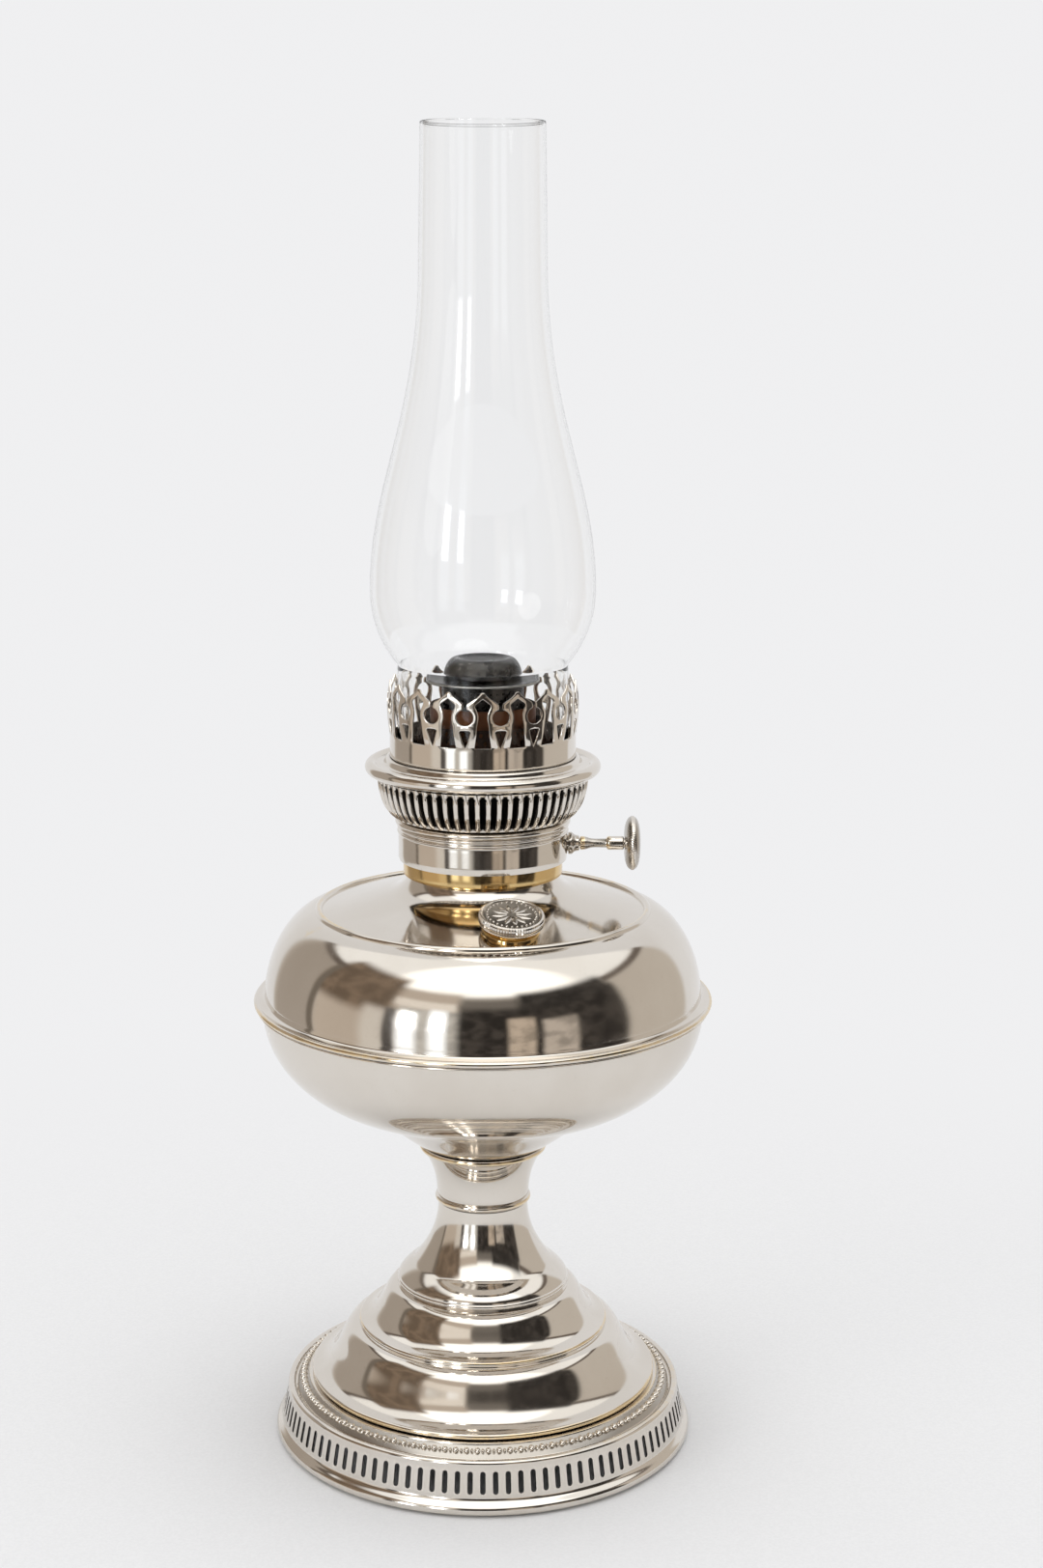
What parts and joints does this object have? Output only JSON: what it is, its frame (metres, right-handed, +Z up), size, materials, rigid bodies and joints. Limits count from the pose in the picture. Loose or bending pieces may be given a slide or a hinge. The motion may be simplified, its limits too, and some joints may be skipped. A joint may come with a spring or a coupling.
{
  "type": "kerosene table lamp",
  "caption": "Nickel-plated centre-draught kerosene table lamp with a slotted foot, an oil font, a pierced chimney gallery, a side wick knob and a clear glass chimney.",
  "frame": {"origin": "middle of the foot, on the surface that the lamp stands on", "axes": "+Z up along the lamp's axis, +X towards the wick knob, -Y towards the filler cap and the viewer"},
  "size_m": [0.1828, 0.1828, 0.522],
  "materials": {
    "nickel": "polished nickel plate, worn to brass at ring edges",
    "bare_brass": "polished",
    "browned_brass": "heat browned",
    "black_iron": "blackened, speckled",
    "clear_glass": "clear",
    "cotton": "woven",
    "cork": "matt"
  },
  "bodies": {
    "lamp_body": {"slotted_foot": "nickel", "pedestal_shell": "nickel", "stem_spool": "nickel", "font_lower_shell": "nickel", "font_upper_shell": "nickel", "font_collar": "bare_brass", "filler_neck": "bare_brass", "draught_tube": "bare_brass", "outer_wick_tube": "browned_brass", "burner_collar": "nickel", "burner_deck": "bare_brass", "shaft_gland": "nickel"},
    "wick_carriage": {"wick": "cotton", "wick_carrier": "bare_brass", "wick_rack": "bare_brass"},
    "knob": {"wick_knob": "nickel", "knob_shaft": "nickel", "drive_pinion": "bare_brass"},
    "gallery": {"draught_basket": "nickel", "gallery_rim": "nickel", "chimney_coronet": "nickel", "air_cone": "browned_brass"},
    "chimney": {"glass_chimney": "clear_glass"},
    "flame_spreader": {"spreader_thimble": "black_iron", "spreader_flange": "black_iron", "spreader_cap": "black_iron"},
    "filler_seal": {"filler_gasket": "cork"},
    "filler_lid": {"filler_cap": "nickel"}
  },
  "joints": [
    {"name": "knob_turn", "type": "hinge", "parent": "lamp_body", "child": "knob", "pos_m": [0.04, 0, 0.2453], "axis": [-1, 0, 0], "range_deg": [-101, 77]},
    {"name": "wick_slide", "type": "slide", "parent": "lamp_body", "child": "wick_carriage", "axis": [0, 0, 1], "range_m": [-0.0079, 0.006]},
    {"name": "gallery_lift", "type": "slide", "parent": "lamp_body", "child": "gallery", "axis": [0, 0, 1], "range_m": [0, 0.075]},
    {"name": "chimney_lift", "type": "slide", "parent": "gallery", "child": "chimney", "axis": [0, 0, 1], "range_m": [0, 0.045]},
    {"name": "spreader_lift", "type": "slide", "parent": "lamp_body", "child": "flame_spreader", "axis": [0, 0, 1], "range_m": [0, 0.03]},
    {"name": "filler_rise", "type": "slide", "parent": "lamp_body", "child": "filler_seal", "axis": [0.056, -0.2589, 0.9643], "range_m": [0, 0.0048]},
    {"name": "filler_turn", "type": "hinge", "parent": "filler_seal", "child": "filler_lid", "pos_m": [0.01058, -0.04892, 0.22275], "axis": [0.056, -0.2589, 0.9643], "range_deg": [0, 1080]}
  ],
  "couplings": [
    {"joint": "knob_turn", "follows": "wick_slide", "rad_per_m": 222.22},
    {"joint": "filler_turn", "follows": "filler_rise", "rad_per_m": 3921.6}
  ]
}
